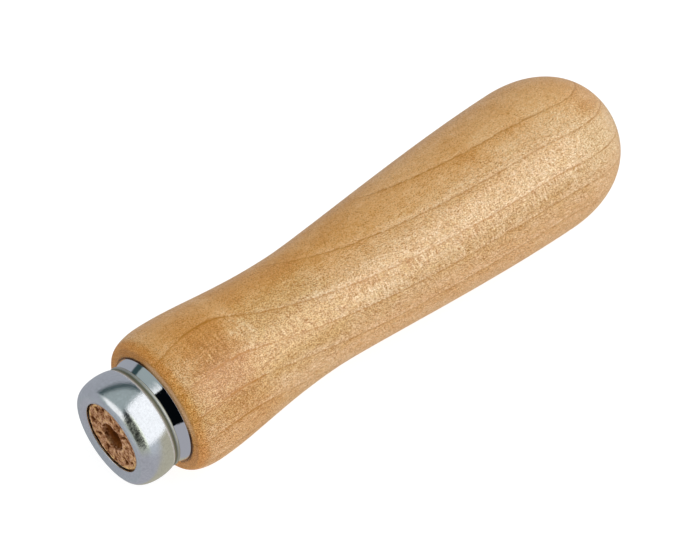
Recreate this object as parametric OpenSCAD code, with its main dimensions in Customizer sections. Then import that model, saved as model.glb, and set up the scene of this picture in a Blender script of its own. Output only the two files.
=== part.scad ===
// Turned wooden tool handle with a two-piece pressed ferrule.
// The axis lies along X, from the ferrule to the butt. The origin is the
// mouth of the tang bore, in the middle of the tenon's end face.

/* [Grip] */
// Length of the whole handle, from the ferrule's nose to the end of the butt
overall_l = 127; // [110:1:150]
// Diameter of the swell just behind the ferrule
bulge_d = 29.8; // [28:0.1:34]
// Diameter of the waist, where the grip is thinnest
waist_d = 25.5; // [24:0.1:27]
// Greatest diameter of the butt, which sits in the palm
butt_d = 31.9; // [29:0.1:38]
// Distance from the shoulder to the middle of the swell
bulge_at = 5.8; // [4.5:0.1:8]
// Distance from the shoulder to the waist
waist_at = 36.7; // [28:0.1:42]
// Distance from the butt's greatest diameter to its end
butt_l = 19.3; // [15:0.1:24]
// Diameter of the flat shoulder that the ferrule stops against
shoulder_d = 26.2; // [24.5:0.1:27]
// Height of the rounding at the shoulder's edge
shoulder_round = 0.8; // [0.4:0.1:1.2]

/* [Curves of the grip] */
// How far the shoulder's rounding runs level into the swell, as a share of its length
swell_ease = 0.6; // [0.4:0.05:0.8]
// How far the swell runs level before it falls to the waist, as a share of that length
swell_hold = 0.29; // [0.2:0.01:0.45]
// How far the waist runs level towards the swell, as a share of that length
waist_hold_front = 0.45; // [0.3:0.01:0.5]
// How far the waist runs level towards the butt, as a share of that length
waist_hold_rear = 0.15; // [0.1:0.01:0.35]
// How far the butt runs level towards the waist, as a share of that length
butt_hold = 0.38; // [0.25:0.01:0.5]
// How far the butt's dome runs level before it turns in, as a share of its length
dome_hold = 0.52; // [0.45:0.01:0.65]
// How blunt the end of the dome is, as a share of the butt's radius
dome_blunt = 0.7; // [0.5:0.01:0.8]

/* [Tang bore] */
// Diameter of the hole drilled for the tang
bore_d = 6; // [4:0.1:8]
// Depth of the hole at its full diameter
bore_l = 60; // [35:1:80]
// Angle of the drill's point at the bottom of the hole
drill_point = 118; // [90:1:140]

/* [Ferrule cap] */
// Greatest diameter of the cap
cap_d = 22.8; // [21.5:0.1:24]
// Thickness of the cap's sheet metal
cap_t = 0.5; // [0.4:0.05:0.6]
// Length of the cap, from its nose to its cut rear edge
cap_l = 8.45; // [8:0.05:9.5]
// Diameter of the opening in the cap's face
opening_d = 15; // [12:0.1:16]
// Diameter of the foremost ring of the cap
nose_d = 19; // [18.5:0.1:20]
// How far the face is dished, from the nose back to the opening's edge
dish = 0.45; // [0.3:0.05:0.6]
// Radius of the cap's barrel curve, lengthwise, from its crown towards the groove
crown_curve = 10; // [8:0.5:12]
// Angle that the barrel curve turns down by, before the groove's bend starts
crown_turn = 14; // [10:1:16]
// Distance from the rolled groove's bottom to the cap's rear edge
groove_to_edge = 0.9; // [0.8:0.05:1.2]
// Depth of the rolled groove, which locks the ferrule to the tenon
groove_depth = 0.65; // [0.5:0.05:0.8]
// Radius at the bottom of the rolled groove
groove_round = 0.3; // [0.2:0.05:0.4]
// How far the cap's cut rear edge lies below its greatest radius
rim_drop = 0.45; // [0.3:0.05:0.5]

/* [Ferrule sleeve] */
// Thickness of the sleeve's sheet metal
sleeve_t = 0.5; // [0.4:0.05:0.6]
// Radial room between the cap's greatest diameter and the sleeve
cap_swell = 0.35; // [0.3:0.05:0.5]
// Distance from the cap's nose to the sleeve's front edge, which the cap hides
sleeve_start = 2.6; // [2.4:0.1:3.5]
// Greatest diameter of the flare, at the shoulder
flare_d = 22.7; // [22.2:0.1:23.4]
// Length of the flare
flare_l = 2.45; // [2.2:0.05:3.2]
// Gap between the cap's rear edge and the start of the flare, less than zero if it starts inside
flare_lead = -0.2; // [-0.3:0.05:0]

/* [Fits] */
// Radial and axial clearance between pieces that are pressed together
fit_gap = 0.05; // [0.03:0.01:0.08]
// Radius of the bend that the rolled groove presses into the tenon
pinch_round = 0.1; // [0.05:0.05:0.3]
// Chamfer at the front edge of the tenon
tenon_chamfer = 1.3; // [1.2:0.1:1.8]

/* [Hidden] */
$fn = 96;

curve_steps = 24;
arc_steps = 12;
nose_x = -(dish + cap_t + fit_gap);
butt_end_x = nose_x + overall_l;
cap_r = cap_d / 2;

// Stations of the cap
edge_x = nose_x + dish;
rim_x = nose_x + cap_l;
groove_x = rim_x - groove_to_edge;
groove_r = cap_r - groove_depth;
rim_r = cap_r - rim_drop;

// The barrel curve, the bend and the groove's bottom are arcs that run into each other
bend_r = cap_t + sleeve_t + 2 * fit_gap + pinch_round;
crown_fall = crown_curve * (1 - cos(crown_turn));
bend_fall = groove_depth - crown_fall;
bend_turn = acos(
    (bend_r * cos(crown_turn) + groove_round - bend_fall) / (bend_r + groove_round)
);
groove_centre = [groove_x, groove_r + groove_round];
bend_centre = groove_centre - (bend_r + groove_round) * [sin(bend_turn), cos(bend_turn)];
crown_x = bend_centre.x - (crown_curve - bend_r) * sin(crown_turn);

// Stations of the sleeve
sleeve_x = nose_x + sleeve_start;
sleeve_r = cap_r - cap_t - cap_swell;
neck_r = groove_r - cap_t - fit_gap;
flare_x = rim_x + flare_lead;
flare_end_x = flare_x + flare_l;
flare_angle = atan((flare_d / 2 - neck_r) / flare_l);

// Stations of the grip
tenon_gap = sleeve_t + fit_gap;
tenon_r = sleeve_r - tenon_gap;
shoulder_x = flare_end_x + sleeve_t * sin(flare_angle) + fit_gap;
bulge_x = shoulder_x + bulge_at;
waist_x = shoulder_x + waist_at;
butt_x = butt_end_x - butt_l;

// Points of the cubic curve from a to d, which leaves a towards b and reaches d from c.
function curve(a, b, c, d) = [
    for (i = [0 : curve_steps])
        let (t = i / curve_steps, u = 1 - t)
            u * u * u * a + 3 * u * u * t * b + 3 * u * t * t * c + t * t * t * d
];

// A curve that is level, along the axis, at both ends. The holds are shares of its length.
function level_curve(from, to, hold_from, hold_to) =
    let (run = to.x - from.x)
        curve(from, from + [hold_from * run, 0], to - [hold_to * run, 0], to);

// Points of an arc round a centre, from one angle to another.
function arc(centre, r, from, to) = [
    for (i = [0 : arc_steps])
        let (angle = from + (to - from) * i / arc_steps)
            centre + r * [cos(angle), sin(angle)]
];

// The outline without its first point, to join it to the one before.
function after(points) = [for (i = [1 : len(points) - 1]) points[i]];

// The outward direction of an outline that runs towards the butt, at point i.
function outward(points, i) =
    let (
        run = points[min(i + 1, len(points) - 1)] - points[max(i - 1, 0)],
        side = [-run.y, run.x]
    )
        side / norm(side);

// The outline moved towards the axis by a distance, square to itself.
function inset(points, distance) = [
    for (i = [0 : len(points) - 1]) points[i] - distance * outward(points, i)
];

function reversed(points) = [for (i = [len(points) - 1 : -1 : 0]) points[i]];

// The outline held below a radius.
function below(points, r) = [for (p = points) [p.x, min(p.y, r)]];

// Outer surface of the cap, from the opening's edge to the cut rear edge.
function cap_face() = curve(
    [edge_x, opening_d / 2],
    [nose_x + dish / 2, opening_d / 2 + (nose_d - opening_d) / 8],
    [nose_x, nose_d / 2 - (nose_d - opening_d) / 5],
    [nose_x, nose_d / 2]
);
function cap_corner() = curve(
    [nose_x, nose_d / 2],
    [nose_x, nose_d / 2 + 0.45 * (cap_r - nose_d / 2)],
    [nose_x + 0.3 * (crown_x - nose_x), cap_r],
    [crown_x, cap_r]
);
function cap_shoulder() = concat(
    arc([crown_x, cap_r - crown_curve], crown_curve, 90, 90 - crown_turn),
    after(arc(bend_centre, bend_r, 90 - crown_turn, 90 - bend_turn)),
    after(arc(groove_centre, groove_round, 270 - bend_turn, 270))
);
function cap_rim() = level_curve([groove_x, groove_r], [rim_x, rim_r], 0.25, 0.6);
function cap_outline() =
    concat(cap_face(), after(cap_corner()), after(cap_shoulder()), after(cap_rim()));

// Surface of the sleeve at a depth under its outer face: straight, pinched under the
// cap's groove, then flared. At the depth of the tenon's gap it is the tenon's surface.
function sleeve_surface(depth) = concat(
    below(inset(cap_shoulder(), cap_t + fit_gap + depth), sleeve_r - depth),
    [
        [flare_x + depth * tan(flare_angle / 2), neck_r - depth],
        [flare_end_x + depth * sin(flare_angle), flare_d / 2 - depth * cos(flare_angle)]
    ]
);

// Section of the sleeve's sheet metal.
function sleeve_section() = concat(
    [[sleeve_x, sleeve_r - sleeve_t], [sleeve_x, sleeve_r]],
    sleeve_surface(0),
    reversed(sleeve_surface(sleeve_t))
);

// Surface of the tenon, from its end face to the shoulder.
function tenon_outline() = concat(
    [[0, 0], [0, tenon_r - tenon_chamfer], [tenon_chamfer, tenon_r]],
    sleeve_surface(tenon_gap),
    [[shoulder_x, flare_d / 2 - tenon_gap * cos(flare_angle)]]
);

// Surface of the grip behind the shoulder.
function grip_outline() =
    let (
        shoulder_edge = [shoulder_x, shoulder_d / 2],
        bulge = [bulge_x, bulge_d / 2],
        waist = [waist_x, waist_d / 2],
        butt = [butt_x, butt_d / 2],
        butt_end = [butt_end_x, 0]
    )
        concat(
            curve(
                shoulder_edge,
                shoulder_edge + [0, shoulder_round],
                bulge - [swell_ease * bulge_at, 0],
                bulge
            ),
            after(level_curve(bulge, waist, swell_hold, waist_hold_front)),
            after(level_curve(waist, butt, waist_hold_rear, butt_hold)),
            after(curve(
                butt,
                butt + [dome_hold * butt_l, 0],
                butt_end + [0, dome_blunt * butt.y],
                butt_end
            ))
        );

// Turns an outline of [x, radius] points about the X axis.
module turned(points)
    rotate([90, 0, 90])
        rotate_extrude()
            polygon([for (p = points) [p.y, p.x]]);

// One-piece turned hardwood grip with its tenon and the blind hole for the tang.
module grip()
    color("burlywood")
        difference() {
            turned(concat(tenon_outline(), grip_outline()));
            tang_bore();
        }

// The drilled hole, with the cone that the drill's point leaves.
module tang_bore() {
    point_l = bore_d / 2 / tan(drill_point / 2);
    mouth_overrun = 1;
    translate([-mouth_overrun, 0, 0])
        rotate([0, 90, 0])
            cylinder(d = bore_d, h = bore_l + mouth_overrun);
    translate([bore_l, 0, 0])
        rotate([0, 90, 0])
            cylinder(d1 = bore_d, d2 = 0, h = point_l);
}

// Bright inner sleeve, pressed on the tenon and flared against the shoulder.
module ferrule_sleeve()
    color("silver")
        turned(sleeve_section());

// Satin outer cap with a turned-in face, rolled down on the sleeve.
module ferrule_cap()
    color("lightslategray")
        turned(concat(cap_outline(), reversed(inset(cap_outline(), cap_t))));

grip();
ferrule_sleeve();
ferrule_cap();
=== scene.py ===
"""Dresses the turned tool handle: maple grip, satin ferrule cap, bright ferrule sleeve.

The handle lies along X, from the ferrule to the butt, with the mouth of the tang
bore at the origin. Sizes in the classes are in millimetres, as on a maker's drawing,
and go into the meshes in metres.
"""

import logging
import math
from dataclasses import dataclass, field
from enum import Enum
from typing import Any, Callable, Sequence

import bpy
import numpy as np
from mathutils import Matrix, Vector


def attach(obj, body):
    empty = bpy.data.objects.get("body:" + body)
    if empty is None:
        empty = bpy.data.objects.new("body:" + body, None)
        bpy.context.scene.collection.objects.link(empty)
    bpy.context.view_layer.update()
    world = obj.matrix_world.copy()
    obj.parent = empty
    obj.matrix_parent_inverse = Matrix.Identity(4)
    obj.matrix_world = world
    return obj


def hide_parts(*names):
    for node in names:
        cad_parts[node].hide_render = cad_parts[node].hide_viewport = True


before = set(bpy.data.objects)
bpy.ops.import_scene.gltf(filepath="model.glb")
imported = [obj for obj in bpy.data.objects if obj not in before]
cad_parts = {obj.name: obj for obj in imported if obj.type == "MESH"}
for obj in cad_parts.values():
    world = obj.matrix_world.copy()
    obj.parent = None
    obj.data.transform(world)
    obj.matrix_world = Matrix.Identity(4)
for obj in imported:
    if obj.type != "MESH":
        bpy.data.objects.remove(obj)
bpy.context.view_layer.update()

log = logging.getLogger("handle")

MM = 0.001
BODY = "root"
HOLLOW = "hollow"
DEEPEST = 0.35


class Slot(Enum):
    """The record's material slots."""

    MAPLE = "maple"
    BRIGHT_PLATE = "bright_plate"
    SATIN_ZINC = "satin_zinc"


# --------------------------------------------------------------------------
# Shader maths
# --------------------------------------------------------------------------


class Value:
    """A number that flows through a node tree. Each operator adds one Math node."""

    def __init__(self, tree: "Tree", socket: bpy.types.NodeSocket) -> None:
        """Holds the socket and the tree that it belongs to."""
        self.tree = tree
        self.socket = socket

    def __add__(self, other: Any) -> "Value":
        """Sum."""
        return self.tree.maths("ADD", self, other)

    def __radd__(self, other: Any) -> "Value":
        """Sum, with the number first."""
        return self.tree.maths("ADD", other, self)

    def __sub__(self, other: Any) -> "Value":
        """Difference."""
        return self.tree.maths("SUBTRACT", self, other)

    def __rsub__(self, other: Any) -> "Value":
        """Difference, with the number first."""
        return self.tree.maths("SUBTRACT", other, self)

    def __mul__(self, other: Any) -> "Value":
        """Product."""
        return self.tree.maths("MULTIPLY", self, other)

    def __rmul__(self, other: Any) -> "Value":
        """Product, with the number first."""
        return self.tree.maths("MULTIPLY", other, self)

    def __truediv__(self, other: Any) -> "Value":
        """Quotient."""
        return self.tree.maths("DIVIDE", self, other)

    def __rtruediv__(self, other: Any) -> "Value":
        """Quotient, with the number first."""
        return self.tree.maths("DIVIDE", other, self)

    def __neg__(self) -> "Value":
        """Opposite."""
        return self.tree.maths("MULTIPLY", self, -1.0)

    def step(self, start: float, end: float) -> "Value":
        """Smooth step from 0 at start to 1 at end; falls where end is below start."""
        return self.tree.node(
            "ShaderNodeMapRange",
            {"interpolation_type": "SMOOTHSTEP", "clamp": True},
            {"Value": self, "From Min": start, "From Max": end},
            "Result",
        )

    def band(self, low: float, high: float, soft: float) -> "Value":
        """1 between low and high, falling to 0 over soft on each side."""
        return self.step(low - soft, low + soft) * self.step(high + soft, high - soft)

    def ridge(self, centre: float, half_width: float) -> "Value":
        """Smooth bump of height 1: 1 / (1 + (distance from the centre / half width)^4).

        Args:
            centre: where the bump is highest.
            half_width: distance at which it has fallen to a half.

        Returns:
            The bump's height.
        """
        far = (self - centre) * (1.0 / half_width)
        square = far * far
        return 1.0 / (square * square + 1.0)

    def clamped(self) -> "Value":
        """Held between 0 and 1."""
        return self.tree.maths("ADD", self, 0.0, clamp=True)


class Tree:
    """Adds nodes to a material or a world by plain calls and expressions."""

    def __init__(self, node_tree: bpy.types.NodeTree) -> None:
        """Empties the node tree and keeps it."""
        node_tree.nodes.clear()
        self.tree = node_tree

    def node(
        self,
        kind: str,
        settings: dict[str, Any] | None = None,
        inputs: dict[Any, Any] | None = None,
        output: Any = 0,
    ) -> Value:
        """Adds any node.

        Args:
            kind: the node's type name.
            settings: properties, set first; "stops" gives a ramp's (place, colour) pairs.
            inputs: socket name or number to a constant, a tuple or a Value.
            output: name or number of the output that is returned.

        Returns:
            The chosen output.
        """
        made = self.tree.nodes.new(kind)
        for name, setting in (settings or {}).items():
            if name == "stops":
                self._set_stops(made.color_ramp, setting)
            else:
                setattr(made, name, setting)
        for name, value in (inputs or {}).items():
            self.feed(made.inputs[name], value)
        return Value(self, made.outputs[output] if made.outputs else None)

    @staticmethod
    def _set_stops(ramp: bpy.types.ColorRamp, stops: Sequence[tuple]) -> None:
        """Gives a ramp its stops.

        Args:
            ramp: the ramp.
            stops: a place from 0 to 1 and a colour each, in order.
        """
        while len(ramp.elements) > 1:
            ramp.elements.remove(ramp.elements[-1])
        for number, (place, colour) in enumerate(stops):
            stop = ramp.elements[0] if number == 0 else ramp.elements.new(place)
            stop.position = place
            stop.color = (*colour, 1.0)

    def feed(self, socket: bpy.types.NodeSocket, value: Any) -> None:
        """Links a Value to a socket, or sets a constant on it.

        Args:
            socket: the input socket.
            value: a Value, a number, or a tuple for a vector or a colour.
        """
        if isinstance(value, Value):
            self.tree.links.new(value.socket, socket)
        elif socket.type == "RGBA" and len(value) == 3:
            socket.default_value = (*value, 1.0)
        else:
            socket.default_value = value

    def maths(self, operation: str, *values: Any, clamp: bool = False) -> Value:
        """Adds a Math node of the operation, fed with the values in order."""
        return self.node(
            "ShaderNodeMath",
            {"operation": operation, "use_clamp": clamp},
            dict(enumerate(values)),
        )

    def vector(self, x: Any, y: Any, z: Any) -> Value:
        """A vector of three values or numbers."""
        return self.node("ShaderNodeCombineXYZ", None, {0: x, 1: y, 2: z})

    def split(self, vector: Value) -> tuple[Value, Value, Value]:
        """Takes a vector apart.

        Args:
            vector: the vector.

        Returns:
            Its x, y and z.
        """
        made = self.tree.nodes.new("ShaderNodeSeparateXYZ")
        self.feed(made.inputs[0], vector)
        return tuple(Value(self, made.outputs[i]) for i in range(3))

    def noise(self, where: Value, scale: float, detail: float, rough: float = 0.5) -> Value:
        """Fractal noise from 0 to 1, about 0.5, with scale features to the unit."""
        return self.node(
            "ShaderNodeTexNoise",
            {"noise_dimensions": "3D", "normalize": True},
            {"Vector": where, "Scale": scale, "Detail": detail, "Roughness": rough},
            "Fac",
        )

    def noise_at(self, x: Any, y: Any, z: Any, detail: float, rough: float = 0.5) -> Value:
        """Noise at (x, y, z), with one feature to the unit, so that each part sets its own scale."""
        return self.noise(self.vector(x, y, z), 1.0, detail, rough)

    def ramp(self, place: Value, stops: Sequence[tuple]) -> Value:
        """The colour at a place along a ramp of (place, colour) stops."""
        return self.node("ShaderNodeValToRGB", {"stops": stops}, {"Fac": place.clamped()})

    def mix(self, share: Any, first: Any, second: Any, blend: str = "MIX") -> Value:
        """Mixes two colours.

        Args:
            share: share of the second colour, from 0 to 1.
            first: a colour, as a tuple or a Value.
            second: another colour.
            blend: how the second is laid over the first, as the Mix node names it.

        Returns:
            The mixed colour.
        """
        made = self.tree.nodes.new("ShaderNodeMix")
        made.data_type, made.blend_type = "RGBA", blend
        self.feed(made.inputs[0], share)
        self.feed(made.inputs[6], first)
        self.feed(made.inputs[7], second)
        return Value(self, made.outputs[2])

    def tinted(self, share: Any, colour: Value, tint: tuple) -> Value:
        """The colour, multiplied by a tint where the share is 1."""
        return self.mix(share, colour, self.mix(1.0, colour, tint, "MULTIPLY"))

    def dot(self, first: Value, second: Sequence[float]) -> Value:
        """Dot product of a vector and a fixed direction."""
        return self.node(
            "ShaderNodeVectorMath", {"operation": "DOT_PRODUCT"}, {0: first, 1: tuple(second)}, "Value"
        )

    def bump(self, height: Value, distance: float) -> Value:
        """A normal from a height whose unit is distance metres."""
        return self.node(
            "ShaderNodeBump", None, {"Height": height, "Distance": distance, "Strength": 1.0}, "Normal"
        )


def object_millimetres(tree: Tree) -> Value:
    """The point on the piece, in millimetres, from its Object coordinates."""
    place = tree.node("ShaderNodeTexCoord", None, None, "Object")
    return tree.node(
        "ShaderNodeVectorMath", {"operation": "SCALE"}, {0: place, "Scale": 1.0 / MM}, "Vector"
    )


def surface_material(
    name: str, dress: Callable[[Tree], dict[str, Any]]
) -> bpy.types.Material:
    """Makes a material on one Principled surface.

    Args:
        name: the material's name.
        dress: adds the pattern's nodes and returns what goes into each socket.

    Returns:
        The material.
    """
    material = bpy.data.materials.new(name)
    material.use_nodes = True
    tree = Tree(material.node_tree)
    surface = tree.node("ShaderNodeBsdfPrincipled", None, dress(tree), "BSDF")
    tree.node("ShaderNodeOutputMaterial", None, {"Surface": surface})
    return material


# --------------------------------------------------------------------------
# Curves and turned meshes
# --------------------------------------------------------------------------

Outline = np.ndarray


def bezier(a: Sequence, b: Sequence, c: Sequence, d: Sequence, steps: int = 32) -> Outline:
    """Cubic curve: u^3 a + 3 u^2 t b + 3 u t^2 c + t^3 d, with t from 0 to 1 and u = 1 - t.

    Args:
        a: first point, as (x, radius).
        b: point that the curve sets out towards.
        c: point that it arrives from.
        d: last point.
        steps: number of steps.

    Returns:
        The curve's points.
    """
    t = np.linspace(0.0, 1.0, steps + 1)[:, None]
    u = 1.0 - t
    ends = [np.asarray(p, float) for p in (a, b, c, d)]
    return u**3 * ends[0] + 3 * u * u * t * ends[1] + 3 * u * t * t * ends[2] + t**3 * ends[3]


def arc(centre: Sequence, radius: float, start: float, end: float, steps: int = 12) -> Outline:
    """Arc from the start angle to the end angle, in radians measured from straight up."""
    angle = np.linspace(start, end, steps + 1)
    return np.asarray(centre, float) + radius * np.stack([np.sin(angle), np.cos(angle)], 1)


def level_curve(
    start: Sequence, end: Sequence, hold_start: float, hold_end: float, steps: int
) -> Outline:
    """Curve that is level, along the axis, at both ends.

    Args:
        start: first point, as (x, radius).
        end: last point.
        hold_start: length of the level handle at the start, as a share of the run.
        hold_end: the same at the end.
        steps: number of steps.

    Returns:
        The curve's points.
    """
    start, end = np.asarray(start, float), np.asarray(end, float)
    run = np.array([end[0] - start[0], 0.0])
    return bezier(start, start + hold_start * run, end - hold_end * run, end, steps)


def joined(*curves: Outline) -> Outline:
    """The curves one after the other, without repeating the points where they meet."""
    return np.concatenate([np.atleast_2d(curves[0])] + [np.atleast_2d(c)[1:] for c in curves[1:]])


def inset(outline: Outline, distance: float) -> Outline:
    """Moves an outline towards the axis, square to itself.

    Args:
        outline: the outline, which runs along +X.
        distance: how far each point moves.

    Returns:
        The moved outline.
    """
    run = np.gradient(outline, axis=0)
    side = np.stack([-run[:, 1], run[:, 0]], 1)
    return outline - distance * side / np.linalg.norm(side, axis=1, keepdims=True)


def rounded(corner: Sequence, before: Sequence, after: Sequence, reach: float, steps: int = 5) -> Outline:
    """Turns a corner into a short curve.

    Args:
        corner: the corner.
        before: a point on the line that leads to it.
        after: a point on the line that leads away.
        reach: distance from the corner to each end of the curve.
        steps: number of steps.

    Returns:
        The curve's points.
    """
    corner, before, after = (np.asarray(p, float) for p in (corner, before, after))

    def at(end: np.ndarray) -> np.ndarray:
        """The point at the reach from the corner towards an end."""
        return corner + (end - corner) / np.linalg.norm(end - corner) * reach

    first, last = at(before), at(after)
    return bezier(first, first + 0.6 * (corner - first), last + 0.6 * (corner - last), last, steps)


def spaced(outline: Outline, gap: float) -> Outline:
    """Adds points evenly along each long line of an outline.

    Args:
        outline: the outline.
        gap: the most that two neighbours may be apart.

    Returns:
        The outline with its old points and the new ones.
    """
    steps = np.hypot(*np.diff(outline, axis=0).T)
    counts = np.maximum(1, np.ceil(steps / gap)).astype(int)
    index = np.repeat(np.arange(len(counts)), counts)
    share = (np.arange(len(index)) - np.repeat(np.cumsum(counts) - counts, counts)) / counts[index]
    dense = outline[index] + share[:, None] * (outline[index + 1] - outline[index])
    return np.vstack([dense, outline[-1:]])


def lattice_noise(x: np.ndarray, y: np.ndarray, seed: float) -> np.ndarray:
    """Smooth noise from -1 to 1 with features about one unit across.

    The corners of each unit square get a number from the fraction of a large sine,
    and the value between them is their blend by the smooth step t * t * (3 - 2 * t).

    Args:
        x: first coordinate, any shape.
        y: second coordinate, the same shape.
        seed: picks another pattern.

    Returns:
        The noise, in the shape of x.
    """
    column, row = np.floor(x), np.floor(y)
    fx, fy = x - column, y - row
    fx, fy = fx * fx * (3 - 2 * fx), fy * fy * (3 - 2 * fy)

    def corner(i: np.ndarray, j: np.ndarray) -> np.ndarray:
        """The number at a corner of the lattice."""
        wave = np.sin(i * 127.1 + j * 311.7 + seed * 74.7) * 43758.5453
        return 2.0 * (wave - np.floor(wave)) - 1.0

    near = corner(column, row) * (1 - fx) + corner(column + 1, row) * fx
    far = corner(column, row + 1) * (1 - fx) + corner(column + 1, row + 1) * fx
    return near * (1 - fy) + far * fy


def round_noise(
    angle: np.ndarray, along: np.ndarray, radius: float, size: float, seed: float
) -> np.ndarray:
    """Noise on a turned surface that meets itself after a full turn.

    It is the blend of two lattice noises, one a turn behind the other, by the angle.

    Args:
        angle: angle round the axis, from 0 to a full turn.
        along: distance along the outline, in millimetres.
        radius: radius that turns the angle into millimetres.
        size: size of the features, in millimetres.
        seed: picks another pattern.

    Returns:
        The noise, from -1 to 1.
    """
    turn = 2.0 * math.pi
    share = angle / turn
    here = lattice_noise(angle * radius / size, along / size, seed)
    behind = lattice_noise((angle - turn) * radius / size, along / size, seed)
    return here * (1 - share) + behind * share


@dataclass
class TurnedMesh:
    """A surface of revolution about X, closed as a ring or at two poles.

    The outline holds its stations as (x, radius) in millimetres, and steps is the
    number of points round the axis.
    """

    name: str
    outline: Outline
    ring: bool
    steps: int = 384

    def points(self) -> tuple[np.ndarray, np.ndarray, np.ndarray]:
        """Lays the grid of the surface, stations by steps.

        Returns:
            Place along the axis, radius and angle of each point.
        """
        angle = np.arange(self.steps) * (2.0 * math.pi / self.steps)
        x, angle = np.meshgrid(self.outline[:, 0], angle, indexing="ij")
        radius = np.repeat(self.outline[:, 1:2], self.steps, axis=1)
        return x, radius, angle

    def build(self, x: np.ndarray, radius: np.ndarray, angle: np.ndarray) -> bpy.types.Object:
        """Makes the mesh from the grid: (x, -r sin a, r cos a) at each point.

        The angle is measured from +Z towards -Y. The outline runs so that the outside
        is on its left, and quads join each station to the next. Where the piece isn't a
        ring, the first and last stations are single points on the axis.

        Args:
            x: place along the axis, stations by steps, in millimetres.
            radius: radius at each point.
            angle: angle at each point.

        Returns:
            The object, at the origin.
        """
        stations, steps = x.shape
        grid = np.stack([x, -radius * np.sin(angle), radius * np.cos(angle)], -1) * MM
        last = stations if self.ring else stations - 1
        i, j = np.meshgrid(np.arange(last), np.arange(steps), indexing="ij")
        i_next, j_next = (i + 1) % stations, (j + 1) % steps
        quads = np.stack(
            [i * steps + j, i * steps + j_next, i_next * steps + j_next, i_next * steps + j], -1
        )
        vertices = grid.reshape(-1, 3)
        if self.ring:
            faces = quads.reshape(-1, 4).tolist()
        else:
            vertices, faces = self._with_poles(vertices, quads, stations, steps)
        mesh = bpy.data.meshes.new(self.name)
        mesh.from_pydata(vertices.tolist(), [], faces)
        mesh.validate()
        mesh.polygons.foreach_set("use_smooth", np.ones(len(mesh.polygons), bool))
        mesh.update()
        made = bpy.data.objects.new(self.name, mesh)
        bpy.context.scene.collection.objects.link(made)
        return made

    @staticmethod
    def _with_poles(
        vertices: np.ndarray, quads: np.ndarray, stations: int, steps: int
    ) -> tuple[np.ndarray, list[list[int]]]:
        """Replaces the first and last stations by one point each, joined by triangles.

        Args:
            vertices: the grid's points, station after station.
            quads: the grid's faces, as point numbers.
            stations: number of stations.
            steps: number of points round the axis.

        Returns:
            The new points and the new faces.
        """
        inner = vertices[steps:-steps]
        poles = np.stack([vertices[:steps].mean(0), vertices[-steps:].mean(0)])
        vertices = np.vstack([inner, poles])
        start, end = len(inner), len(inner) + 1
        middle = (quads[1:-1] - steps).reshape(-1, 4)
        j = np.arange(steps)
        j_next = (j + 1) % steps
        top = (stations - 3) * steps
        caps = np.vstack(
            [
                np.stack([np.full(steps, start), j_next, j], 1),
                np.stack([top + j, top + j_next, np.full(steps, end)], 1),
            ]
        )
        return vertices, middle.tolist() + caps.tolist()


# --------------------------------------------------------------------------
# Finishes
# --------------------------------------------------------------------------


@dataclass(frozen=True)
class FigureAndSheen:
    """A patch of darker or paler colour on the wood, oval along the grain and round the handle.

    x and clock are its middle, in millimetres and in degrees round the axis from +Z
    towards -Y. length and arc are its half widths that way. shade darkens the wood and
    amber warms it, and less than 0 does the opposite. Most patches are the wood's own
    figure; the pale, bluish ones on the butt are painted sheen.
    """

    x: float
    clock: float
    length: float
    arc: float
    shade: float
    amber: float


@dataclass(frozen=True)
class Spot:
    """A spot on the wood, as the pattern sees it.

    x, y and z are its place in millimetres, and square is the square of its distance
    from the axis. across and beside are its distances from the axis across the growth
    rings and along them. clock is its angle round the axis, in degrees from +Z towards
    -Y.
    """

    x: Value
    y: Value
    z: Value
    square: Value
    across: Value
    beside: Value
    clock: Value


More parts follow.
